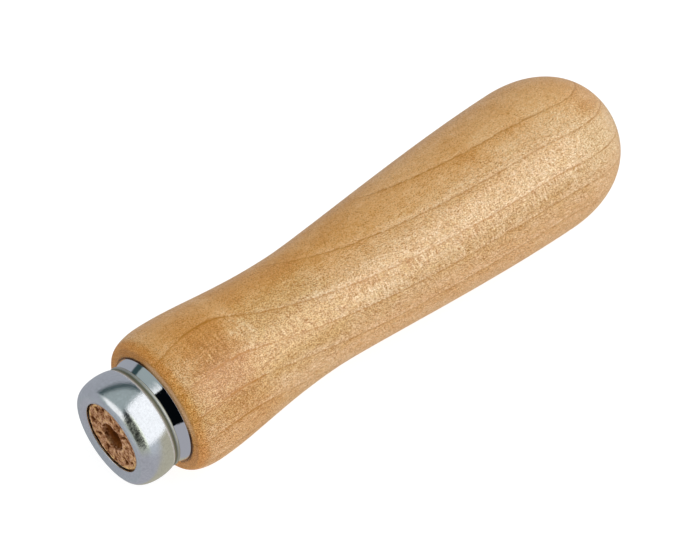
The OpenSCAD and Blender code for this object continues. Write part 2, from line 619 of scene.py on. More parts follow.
@dataclass(frozen=True)
class Maple:
    """Honey-coloured maple under thin lacquer, with growth rings and ray flecks.

    The pairs and triples of places are the starts and ends of steps and bands, in
    millimetres along X, in degrees round the axis, or in square millimetres where they
    are squares of a radius.
    """

    name: str = "maple"
    cream: tuple = (0.97, 0.81, 0.50)
    honey: tuple = (0.84, 0.43, 0.142)
    brown: tuple = (0.40, 0.150, 0.014)
    line: tuple = (0.50, 0.19, 0.020)
    amber: tuple = (0.90, 0.80, 0.58)
    # Pinkish tint of the lower side: painted light from below.
    lower_side_light_tint: tuple = (1.05, 0.965, 0.99)
    raw: tuple = (1.05, 0.91, 0.70)
    # Pale fuzz of the shoulder's flat, brightened as painted highlight.
    fuzz: tuple = (1.0, 0.66, 0.38)
    # Darkest end grain: torn fibres, and painted shade at the bottom of the pits.
    torn: tuple = (0.125, 0.033, 0.005)
    end_dark: tuple = (0.29, 0.112, 0.034)
    end_grain: tuple = (0.43, 0.200, 0.096)
    end_pale: tuple = (0.76, 0.45, 0.285)
    gold: tuple = (1.04, 1.10, 0.72)
    bore_mouth: tuple = (0.54, 0.190, 0.034)
    bore_deep_shade: tuple = (0.25, 0.085, 0.016)
    bore_grime: tuple = (0.6, 0.55, 0.5)
    # Dark of the shoulder's joint with the sleeve: painted shadow.
    gap: tuple = (0.06, 0.024, 0.008)

    ring_turn: float = 50.7
    ring_radius: float = 51.25
    ring_lines: tuple = (-18.3, -12.9, -8.2, -2.15, 3.1, 8.4, 14.2, 20.0)
    flecked_rings: tuple = (-2.1, 3.0, 0.2)
    bold_lines: tuple = (18.0, 26.5, 2.5)
    trunk_bend: tuple = (19.0, 38.0, 9.3)
    knee: tuple = (20.0, 11.0)
    knee_side: tuple = (-140.0, 22.0, 30.0)
    sinking: tuple = (100.0, 126.0)

    shoulder_cut: tuple = (12.5, 10.6)
    shoulder_flat: tuple = (10.4, 10.2)
    lively_shoulder: tuple = (13.5, 11.0)
    lively_waist: tuple = (29.0, 48.0, 4.0)
    lively_front: tuple = (0.0, 130.0, 14.0)
    lively_under: tuple = (55.0, 140.0, 20.0)
    lower_side_light_band: tuple = (65.0, 135.0, 20.0)
    lit_fuzz_side: tuple = (-8.0, 70.0, 8.0)
    lit_fuzz_edge: tuple = (13.3, 12.4)
    joint_shadow_edge: tuple = (11.75, 11.5)

    end_face: tuple = (1.6, 1.2)
    in_bore: tuple = (75.0, 70.0)
    bore_square: tuple = (11.0, 9.6)
    hole_square: tuple = (9.6, 8.9)
    rim_start: tuple = (9.0, 10.0)
    rim_end: tuple = (13.0, 11.0)
    edge_square: tuple = (42.0, 48.0)
    hole_fade: tuple = (0.0, 1.1)
    bore_fade: tuple = (0.4, 3.4)

    rough: float = 0.5
    bare_rough: float = 0.8
    lacquer: float = 0.28
    relief: float = 0.00001
    figure_and_sheen_patches: tuple = (
        FigureAndSheen(21, 42, 6, 36, 0.40, 0.5),
        FigureAndSheen(19, 45, 6, 16, 0.30, 0.9),
        FigureAndSheen(21, 9, 3, 9, 0.08, 0.5),
        FigureAndSheen(28, 19, 3, 8, -0.16, -0.5),
        FigureAndSheen(37, -24, 9, 12, 0.03, 0.75),
        FigureAndSheen(38, 30, 9, 40, 0.0, 0.6),
        FigureAndSheen(38, 45, 12, 8, 0.08, 0.4),
        FigureAndSheen(27, 92, 4, 18, 0.12, 0.4),
        FigureAndSheen(12, 92, 3, 22, 0.10, 0.1),
        FigureAndSheen(62, -38, 6, 12, 0.0, 0.4),
        FigureAndSheen(119, 5, 4, 18, 0.07, 0.0),
        FigureAndSheen(20, -11, 4, 11, 0.05, 0.5),
        FigureAndSheen(31, -12, 2, 26, 0.05, 0.4),
        FigureAndSheen(44, -13, 5, 11, 0.10, 0.6),
        FigureAndSheen(35, 46, 2, 4, 0.05, 0.7),
        FigureAndSheen(41, 49, 3, 4, 0.05, 0.8),
        FigureAndSheen(44, 62, 4, 5, 0.05, 0.5),
        FigureAndSheen(57, -22, 6, 14, 0.03, 0.35),
        FigureAndSheen(65, 48, 2, 4, 0.04, 0.6),
        FigureAndSheen(89, 8, 1.6, 22, 0.06, 0.35),
        FigureAndSheen(102, 2, 3, 22, 0.06, 0.0),
        FigureAndSheen(118, 21, 3, 7, 0.20, 1.0),
        FigureAndSheen(96, -5, 5, 5, -0.10, -0.6),
        FigureAndSheen(28, -15, 2, 28, -0.06, -0.4),
        FigureAndSheen(37, 76, 8, 10, -0.05, -0.35),
        FigureAndSheen(47, 30, 5, 6, -0.04, -0.3),
        FigureAndSheen(96, 17, 4, 9, -0.05, -0.2),
        FigureAndSheen(75, -25, 6, 10, -0.02, -0.3),
        # The next two patches, pale and bluish on the butt, are painted sheen.
        FigureAndSheen(115, 50, 6, 30, -0.15, -0.7),
        FigureAndSheen(107, 4, 4, 16, -0.10, -0.5),
        FigureAndSheen(75, 19, 8, 7, -0.08, 0.0),
        FigureAndSheen(103, 20, 7, 12, -0.05, -0.35),
    )

    def build(self) -> bpy.types.Material:
        """Makes the material."""
        return surface_material(self.name, self._dress)

    def _dress(self, tree: Tree) -> dict[str, Any]:
        """Adds the pattern.

        quarter is 1 where the surface cuts the growth rings squarely, lively is how
        strongly the fibres show, and depth and warmth set the colour.

        Args:
            tree: the material's nodes.

        Returns:
            What goes into the surface's sockets.
        """
        spot = self._spot(tree)
        x, clock = spot.x, spot.clock
        quarter = spot.beside * spot.beside / (spot.square + 0.01)
        at = self._ring_place(tree, spot)
        fibres = self._fibres(tree, spot)
        flecks = self._flecks(tree, spot, at) * quarter * quarter
        lines, early, late = self._growth_rings(tree, spot, at, tree.maths("SQRT", quarter) + 0.05)
        shade, patch_warmth = self._figure_and_sheen(tree, spot)
        drift = tree.noise_at(x * 0.3, spot.y * 0.5, spot.z * 0.5, 2.0, 0.6) - 0.5
        shine = tree.noise_at(x * 4.0, spot.across * 6.0, spot.beside * 6.0, 1.0, 0.6) - 0.5

        cut = x.step(*self.shoulder_cut)
        lively = (
            quarter * quarter * quarter * 0.95
            + clock.band(*self.lively_under) * 0.65
            + x.band(*self.lively_waist) * clock.band(*self.lively_front) * 0.60
            + x.step(*self.lively_shoulder) * 0.3
            + 0.33
        )
        depth = 0.5 + fibres * lively + shade * 0.6 + flecks + (late - early) * 0.03 + cut * 0.1
        body = tree.ramp(depth, [(0.0, self.cream), (0.5, self.honey), (1.0, self.brown)])
        warmth = 0.35 + drift * 2.2 + patch_warmth + late * 0.25 - early * 0.35 + flecks + cut * 0.7
        body = tree.tinted(warmth.clamped(), body, self.amber)
        # The lower side is tinted pinker: painted light, the cast that light from below gives it.
        body = tree.tinted(clock.band(*self.lower_side_light_band) * 0.8, body, self.lower_side_light_tint)
        body = tree.tinted(cut, body, self.raw)
        body = tree.mix(lines.clamped(), body, self.line)
        body = self._shoulder_fuzz_and_shadow(tree, spot, fibres, body)

        face, grain, bare = self._end_grain(tree, spot)
        coated = 1.0 - bare
        gloss = (0.55 + shine * 1.6 - fibres * 0.30) * coated * (1.0 - cut * 0.6)
        return {
            "Base Color": tree.mix(bare, body, face),
            "Roughness": self.rough + bare * (self.bare_rough - self.rough),
            "Specular IOR Level": 0.1,
            "Coat Weight": gloss.clamped(),
            "Coat Roughness": self.lacquer,
            "Normal": tree.bump(fibres * coated - lines * 0.3 + grain * bare * 12.0, self.relief),
        }

    def _spot(self, tree: Tree) -> Spot:
        """Works out where a spot lies, and how it lies to the growth rings.

        Args:
            tree: the material's nodes.

        Returns:
            The spot.
        """
        x, y, z = tree.split(object_millimetres(tree))
        turn = math.radians(self.ring_turn)
        across = y * -math.cos(turn) + z * -math.sin(turn)
        beside = z * math.cos(turn) + y * -math.sin(turn)
        clock = tree.maths("ARCTAN2", -y, z) * (180.0 / math.pi)
        return Spot(x, y, z, y * y + z * z, across, beside, clock)

    def _ring_place(self, tree: Tree, spot: Spot) -> Value:
        """Finds the place among the growth rings.

        The rings are arcs about a far centre, so a ring's place is the distance across
        them less the square of the distance beside them over twice their radius. Near
        the ferrule the trunk bent, which lifts every ring by its rise over
        (1 + ((x - middle) / reach)^2)^2, and one side of it bent a little more. Towards
        the butt's end the rings sink again.

        Args:
            tree: the material's nodes.
            spot: the spot.

        Returns:
            The place, in millimetres across the rings.
        """
        x, beside = spot.x, spot.beside
        wobble = tree.noise_at(x * 0.5, spot.y * 0.5, spot.z * 0.5, 3.0, 0.6) - 0.5
        middle, reach, rise = self.trunk_bend
        dip = (x - middle) * (1.0 / reach)
        dip = dip * dip + 1.0
        knee = x.ridge(*self.knee) * (spot.clock.band(*self.knee_side) * 1.2 + 0.4)
        bent = spot.across - beside * beside * (0.5 / self.ring_radius) + rise / (dip * dip) + knee
        return bent + wobble * 0.5 - x.step(*self.sinking) * 2.2 - 0.3

    def _growth_rings(
        self, tree: Tree, spot: Spot, at: Value, tilt: Value
    ) -> tuple[Value, Value, Value]:
        """Draws late wood's thin line at each growth ring, and the wood beside it.

        Args:
            tree: the material's nodes.
            spot: the spot.
            at: its place among the rings.
            tilt: how squarely the surface cuts the rings, which widens the lines.

        Returns:
            The line, the pale early wood before it and the warm wood after it, each 0 to 1.
        """
        x, y, z = spot.x, spot.y, spot.z
        gate = tree.noise_at(x * 0.35, y * 0.5, z * 0.5, 3.0, 0.65)
        smear = tree.noise_at(x * 1.8, y * 4.0, z * 4.0, 1.0, 0.6)
        bold = x.band(*self.bold_lines)
        lines: Any = 0.0
        early: Any = 0.0
        late: Any = 0.0
        for place in self.ring_lines:
            off = (at - place) / tilt
            lines = lines + off.ridge(0.0, 0.13) + off.ridge(0.0, 0.22) * bold * 0.3
            early = early + off.step(-1.4, -0.2) * off.step(0.1, -0.1)
            late = late + off.step(1.8, 0.0) * off.step(-0.1, 0.1)
        return lines * (gate + smear * 2.2 - 1.0 + bold * 0.4).clamped(), early, late

    def _fibres(self, tree: Tree, spot: Spot) -> Value:
        """Lays short specks of cream and orange, long thin threads and sparse dark pores.

        Args:
            tree: the material's nodes.
            spot: the spot.

        Returns:
            How dark the fibres are, about 0.
        """
        x = spot.x
        sway = tree.noise_at(x * 0.25, spot.across * 0.4, spot.beside * 0.4, 1.0)
        side, deep = spot.across + sway * 0.3, spot.beside + sway * 0.3
        coarse = tree.noise_at(x * 3.6, side * 7.6, deep * 7.6, 1.0, 0.6)
        fine = tree.noise_at(x * 8.6, side * 11.0, deep * 11.0, 1.0, 0.6)
        threads = tree.noise_at(x * 0.3, side * 4.6, deep * 4.6, 1.0, 0.7)
        pores = tree.noise_at(x * 3.8, side * 9.0, deep * 9.0 + 40.0, 0.0)
        specks = (coarse + fine * 1.4 - 1.2) * 2.2
        return specks + (threads - 0.5) * 0.8 + pores.step(0.55, 0.75) * 1.4 - 0.17

    def _flecks(self, tree: Tree, spot: Spot, at: Value) -> Value:
        """Lays ray flecks: short strokes square to the grain, in patches between two rings.

        Args:
            tree: the material's nodes.
            spot: the spot.
            at: its place among the rings.

        Returns:
            How dark the flecks are, about 0.
        """
        x, across, beside = spot.x, spot.across, spot.beside
        strokes = tree.noise_at(x * 2.6, across * 0.5, beside * 0.5, 0.0) - 0.5
        patches = tree.noise_at(x * 0.16, across * 0.2, beside * 0.2, 1.0).step(0.38, 0.58)
        return strokes * (at.band(*self.flecked_rings) * patches * 1.3 + 0.2)

    def _shoulder_fuzz_and_shadow(self, tree: Tree, spot: Spot, fibres: Value, body: Value) -> Value:
        """Gives the flat of the shoulder pale fuzz on its lit side, brightened as a painted highlight,
        and elsewhere a dark ragged line of painted shadow.

        Args:
            tree: the material's nodes.
            spot: the spot.
            fibres: how dark the fibres are.
            body: the wood's colour so far.

        Returns:
            The wood's colour with the shoulder's.
        """
        radius = tree.maths("SQRT", spot.square)
        teeth = tree.noise_at(radius * 2.0, spot.clock * 1.1, 3.0, 2.0, 0.8) - 0.5
        lit_side = (spot.clock + teeth * 40.0).band(*self.lit_fuzz_side)
        flat = spot.x.step(*self.shoulder_flat)
        # Pale torn fibres, brightened where the light falls: painted highlight.
        fuzz = tree.mix((0.68 - fibres * 0.4 - teeth * 3.0).clamped(), self.line, self.fuzz)
        body = tree.mix(flat * lit_side * (radius + teeth * 2.4).step(*self.lit_fuzz_edge), body, fuzz)
        # Dark ragged line against the flare, away from the lit side: painted shadow.
        joint_shadow = flat * (1.0 - lit_side * 0.85) * (radius - teeth * 2.6).step(*self.joint_shadow_edge)
        return tree.mix(joint_shadow, body, self.gap)

    def _figure_and_sheen(self, tree: Tree, spot: Spot) -> tuple[Value, Value]:
        """Adds up the patches of figure and of painted sheen, with wavering edges.

        Args:
            tree: the material's nodes.
            spot: the spot.

        Returns:
            The patches' shade and their warmth.
        """
        warp = tree.noise_at(spot.x * 0.25, spot.clock * 0.06, 0.0, 3.0, 0.6) - 0.5
        waver = tree.noise_at(spot.x * 0.25, spot.clock * 0.06, 9.0, 3.0, 0.6) - 0.5
        at, turn = spot.x + warp * 3.0, spot.clock + waver * 12.0
        shade: Any = 0.0
        patch_warmth: Any = 0.0
        for patch in self.figure_and_sheen_patches:
            share = at.ridge(patch.x, patch.length) * turn.ridge(patch.clock, patch.arc)
            shade = shade + share * patch.shade
            patch_warmth = patch_warmth + share * patch.amber
        return shade, patch_warmth

    def _end_grain(self, tree: Tree, spot: Spot) -> tuple[Value, Value, Value]:
        """Dresses the bare sawn end and the bore, with painted shade in the pits and down the bore.

        Args:
            tree: the material's nodes.
            spot: the spot.

        Returns:
            Their colour, their height, and where they are, from 0 to 1.
        """
        x, y, z, square = spot.x, spot.y, spot.z, spot.square
        hollow = tree.node(
            "ShaderNodeAttribute", {"attribute_name": HOLLOW, "attribute_type": "GEOMETRY"}, None, "Fac"
        )
        grain = tree.noise_at(x * 2.0, y * 2.0, z * 2.0, 3.0, 0.7)
        crumbs = tree.noise_at(x * 0.8, y * 0.9, z * 0.9, 3.0, 0.65)
        vein = tree.noise_at(x * 0.7, y * 0.75, z * 0.75, 2.0, 0.5).ridge(0.5, 0.035)
        rim = square.step(*self.rim_start) * square.step(*self.rim_end)
        # Paler, golden outer edge of the end face: partly the wood's own yellow rim, partly painted light
        # that stands in for the lit edge and lifts the shadow of the cap's lip.
        edge = square.step(*self.edge_square) * (crumbs * 5.0 - 1.9).clamped()
        tone = 0.45 + (grain - 0.5) * 2.4 + (crumbs - 0.5) * 2.2 + vein * 0.22
        # Deeper pits are darker: painted shade in the hollows.
        tone = tone + rim * 0.18 + edge * 0.35 - hollow * 0.8
        stops = [(0.0, self.torn), (0.3, self.end_dark), (0.5, self.end_grain), (1.0, self.end_pale)]
        golden = ((crumbs - 0.5) * 5.0 + edge * 0.8).clamped()
        face = tree.tinted(golden, tree.ramp(tone, stops), self.gold)
        # The bore darkens from its mouth inwards: painted shade.
        bore = tree.mix(x.step(*self.bore_fade), self.bore_mouth, self.bore_deep_shade)
        bore = tree.tinted((1.5 - grain * 2.0).clamped(), bore, self.bore_grime)
        inside = square.step(*self.hole_square) * x.step(*self.hole_fade)
        bare = x.step(*self.end_face) + square.step(*self.bore_square) * x.step(*self.in_bore)
        return tree.mix(inside, face, bore), grain, bare.clamped()


def scaled(colour: tuple, times: float) -> tuple:
    """The colour, lighter or darker by a factor."""
    return tuple(times * part for part in colour)


@dataclass(frozen=True)
class SatinZinc:
    """Satin zinc plating on pressed steel, faintly grained.

    The pairs and triples of places are the starts and ends of steps and bands, in
    millimetres along X, or in radians round the axis for streak_reflection_turn.
    """

    name: str = "satin_zinc"
    colour: tuple = (0.80, 0.81, 0.82)
    # Dark olive of the groove and the cut edge: painted shade.
    groove_and_edge_shade: tuple = (0.17, 0.165, 0.10)
    lip: tuple = (0.60, 0.59, 0.49)
    # Olive of the dull patch on the nose: painted reflection, lifting the dark streak mirrored there.
    streak_reflection: tuple = (0.78, 0.83, 0.60)
    rough: float = 0.075
    bend: tuple = (5.7, 6.1)
    dull_start: tuple = (5.65, 5.95)
    dull_end: tuple = (7.0, 6.8)
    groove_start: tuple = (5.75, 6.62)
    groove_end: tuple = (7.12, 6.78)
    lip_start: tuple = (6.85, 7.1)
    cut_edge: tuple = (7.3, 7.42)
    streak_reflection_x: tuple = (-0.6, 1.2, 0.3)
    streak_reflection_turn: tuple = (0.45, 1.15, 0.12)
    rib_count: float = 230.0
    relief: float = 0.00002

    def build(self) -> bpy.types.Material:
        """Makes the material."""
        return surface_material(self.name, self._dress)

    def _dress(self, tree: Tree) -> dict[str, Any]:
        """Adds the grain, painted shade in the groove and on the cut edge, the ribbed lip, and a dull
        olive patch on the nose, a painted reflection that lifts the dark streak mirrored there.

        Args:
            tree: the material's nodes.

        Returns:
            What goes into the surface's sockets.
        """
        place = object_millimetres(tree)
        x, y, z = tree.split(place)
        turn = tree.maths("ARCTAN2", -y, z)
        grain = tree.noise(place, 4.5, 3.0, 0.65)
        cloud = tree.noise(place, 0.5, 2.0) - 0.5
        spangle = tree.noise(place, 2.2, 2.0, 0.6)
        groove = x.step(*self.groove_start) * x.step(*self.groove_end)
        dull = x.step(*self.dull_start) * x.step(*self.dull_end)
        lip = x.step(*self.lip_start)
        ribs = tree.maths("SINE", turn * self.rib_count) * lip
        # Dull olive patch where the dark streak is mirrored on the nose: painted reflection.
        streak_reflection = x.band(*self.streak_reflection_x) * turn.band(*self.streak_reflection_turn)
        specks = (spangle * 0.8 - 0.31).clamped() * streak_reflection

        tone = (0.5 + cloud * 0.8 + (spangle - 0.5) * 2.0).clamped()
        colour = tree.mix(tone, scaled(self.colour, 0.92), scaled(self.colour, 1.08))
        colour = tree.mix(streak_reflection * 0.7, colour, self.streak_reflection)
        colour = tree.mix(lip * (0.8 + ribs * 0.2), colour, self.lip)
        # The groove and the cut edge are darkened: painted shade.
        colour = tree.mix((groove + x.step(*self.cut_edge)).clamped(), colour, self.groove_and_edge_shade)
        return {
            "Base Color": colour,
            "Metallic": 0.965 - dull * 0.55 - specks,
            "Roughness": self.rough + cloud * 0.06 + x.step(*self.bend) * 0.26 + specks * 0.5,
            "Normal": tree.bump(grain + ribs * 0.8 + spangle * streak_reflection * 2.0, self.relief),
        }


@dataclass(frozen=True)
class BrightPlate:
    """Bright polished plating on thin sheet steel."""

    name: str = "bright_plate"
    colour: tuple = (0.86, 0.87, 0.88)
    rough: float = 0.035
    relief: float = 0.00001

    def build(self) -> bpy.types.Material:
        """Makes the material."""
        return surface_material(self.name, self._dress)

    def _dress(self, tree: Tree) -> dict[str, Any]:
        """Adds faint marks.

        Args:
            tree: the material's nodes.

        Returns:
            What goes into the surface's sockets.
        """
        marks = tree.noise(object_millimetres(tree), 1.2, 3.0, 0.6)
        return {
            "Base Color": tree.mix(marks, scaled(self.colour, 0.97), self.colour),
            "Metallic": 1.0,
            "Roughness": self.rough + marks.step(0.55, 0.8) * 0.05,
            "Normal": tree.bump(marks, self.relief),
        }


# --------------------------------------------------------------------------
# Sub-assemblies
# --------------------------------------------------------------------------


@dataclass
class FerruleCap:
    """Satin outer cap with a turned-in face, a rolled groove and a cut rear edge.

    Its sizes are those of the solids. wave is how far pressing left it out of round.
    """

    nose_x: float = -1.0
    length: float = 8.45
    sheet: float = 0.5
    diameter: float = 22.8
    opening: float = 15.0
    nose_diameter: float = 19.0
    dish: float = 0.45
    crown_curve: float = 10.0
    crown_turn: float = 14.0
    groove_to_edge: float = 0.9
    groove_depth: float = 0.65
    groove_round: float = 0.3
    rim_drop: float = 0.45
    bend: float = 1.2
    lip_round: float = 0.16
    rim_round: float = 0.09
    wave: float = 0.012
    wave_size: float = 9.0

    @property
    def rim(self) -> tuple[float, float]:
        """Cut rear edge."""
        return self.nose_x + self.length, self.diameter / 2 - self.rim_drop

    @property
    def groove(self) -> tuple[float, float]:
        """Bottom of the rolled groove."""
        return self.rim[0] - self.groove_to_edge, self.diameter / 2 - self.groove_depth

    def shoulder(self) -> Outline:
        """Outer surface from the crown to the bottom of the groove, as three arcs.

        The barrel curve, the bend and the groove's bottom run into each other. The
        angle where the bend meets the groove's bottom gives the groove its depth.

        Returns:
            The outline.
        """
        tilt = math.radians(self.crown_turn)
        fall = self.groove_depth - self.crown_curve * (1 - math.cos(tilt))
        reach = self.bend + self.groove_round
        turn = math.acos((self.bend * math.cos(tilt) + self.groove_round - fall) / reach)
        hollow = np.array(self.groove) + (0.0, self.groove_round)
        bend = hollow - reach * np.array([math.sin(turn), math.cos(turn)])
        crown = bend - (self.crown_curve - self.bend) * np.array([math.sin(tilt), math.cos(tilt)])
        return joined(
            arc(crown, self.crown_curve, 0.0, tilt),
            arc(bend, self.bend, tilt, turn),
            arc(hollow, -self.groove_round, turn, 0.0),
        )

    def outer(self) -> Outline:
        """Outer surface: the dished face, the nose, the shoulder and the rim.

        Returns:
            The outline, from the opening's edge to the cut rear edge.
        """
        nose_r, opening_r = self.nose_diameter / 2, self.opening / 2
        shoulder = self.shoulder()
        crown = shoulder[0]
        face = bezier(
            (self.nose_x + self.dish, opening_r),
            (self.nose_x + self.dish / 2, opening_r + (nose_r - opening_r) / 4),
            (self.nose_x, nose_r - (nose_r - opening_r) / 2.5),
            (self.nose_x, nose_r),
        )
        corner = bezier(
            (self.nose_x, nose_r),
            (self.nose_x, nose_r + 0.45 * (crown[1] - nose_r)),
            (self.nose_x + 0.3 * (crown[0] - self.nose_x), crown[1]),
            crown,
            40,
        )
        rim = level_curve(self.groove, self.rim, 0.25, 0.6, 12)
        return joined(face, corner, shoulder, rim)

    def section(self) -> Outline:
        """Section of the sheet metal, with the lip and the rim rounded.

        Returns:
            The closed outline.
        """
        outer = self.outer()
        inner = inset(outer, self.sheet)[::-1]
        lip_out = rounded(outer[0], inner[-1], outer[2], self.lip_round)
        lip_in = rounded(inner[-1], inner[-3], outer[0], self.lip_round)
        rim_out = rounded(outer[-1], outer[-3], inner[0], self.rim_round)
        rim_in = rounded(inner[0], outer[-1], inner[2], self.rim_round)
        return np.concatenate([lip_out, outer[3:-3], rim_out, rim_in, inner[3:-3], lip_in])

    def build(self) -> bpy.types.Object:
        """Makes the cap, with the faint out-of-round waves that pressing leaves.

        Returns:
            The cap.
        """
        turned = TurnedMesh("cap_shell", self.section(), ring=True)
        x, radius, angle = turned.points()
        wave = round_noise(angle, x, 11.0, self.wave_size, 3.0)
        return turned.build(x, radius + self.wave * wave, angle)


@dataclass
class FerruleSleeve:
    """Bright inner sleeve, pressed on the tenon and flared against the shoulder.

    It takes its places from the cap, which it fits.
    """

    cap: FerruleCap
    sheet: float = 0.5
    cap_swell: float = 0.35
    start: float = 2.6
    flare_diameter: float = 22.7
    flare_length: float = 2.45
    flare_lead: float = -0.2
    fit_gap: float = 0.05
    edge_round: float = 0.08
    neck_round: float = 0.2
    grid_gap: float = 0.35

    @property
    def radius(self) -> float:
        """Outer radius of the straight part."""
        return self.cap.diameter / 2 - self.cap.sheet - self.cap_swell

    @property
    def neck(self) -> float:
        """Outer radius under the groove."""
        return self.cap.groove[1] - self.cap.sheet - self.fit_gap

    @property
    def flare(self) -> tuple[float, float, float]:
        """Start, end and angle of the flare, which runs straight from the neck to its rear edge."""
        start = self.cap.rim[0] + self.flare_lead
        angle = math.atan((self.flare_diameter / 2 - self.neck) / self.flare_length)
        return start, start + self.flare_length, angle

    @property
    def shoulder_x(self) -> float:
        """Place of the wood's shoulder, just behind the flare."""
        _, end, angle = self.flare
        return end + self.sheet * math.sin(angle) + self.fit_gap

    def surface(self, depth: float) -> Outline:
        """Surface at a depth under the outer face: straight, pinched, then flared.

        Args:
            depth: the depth, in millimetres.

        Returns:
            The outline.
        """
        start, end, angle = self.flare
        pinched = inset(self.cap.shoulder(), self.cap.sheet + self.fit_gap + depth)
        pinched[:, 1] = np.minimum(pinched[:, 1], self.radius - depth)
        return np.vstack(
            [
                pinched,
                (start + depth * math.tan(angle / 2), self.neck - depth),
                (end + depth * math.sin(angle), self.flare_diameter / 2 - depth * math.cos(angle)),
            ]
        )

    def section(self) -> Outline:
        """Section of the sheet metal, with the flare's edge rounded.

        Returns:
            The closed outline.
        """
        start = self.cap.nose_x + self.start
        outer, inner = self.surface(0.0), self.surface(self.sheet)[::-1]
        edge_out = rounded(outer[-1], outer[-2], inner[0], self.edge_round)
        edge_in = rounded(inner[0], outer[-1], inner[1], self.edge_round)
        corner = rounded(outer[-2], outer[-3], outer[-1], self.neck_round)
        front = [(start, self.radius - self.sheet), (start, self.radius)]
        return np.concatenate([front, outer[:-2], corner, edge_out, edge_in, inner[1:]])

    def build(self) -> bpy.types.Object:
        """Makes the sleeve.

        Returns:
            The sleeve.
        """
        turned = TurnedMesh("sleeve_shell", spaced(self.section(), self.grid_gap)[:-1], ring=True)
        x, radius, angle = turned.points()
        return turned.build(x, radius, angle)


@dataclass(frozen=True)
class Pit:
    """A hollow torn out of the end grain.

    clock and radius are its middle, in degrees round the axis and in millimetres from
    it. length runs along the radius and width across it.
    """

    clock: float
    radius: float
    length: float
    width: float
    depth: float = DEEPEST


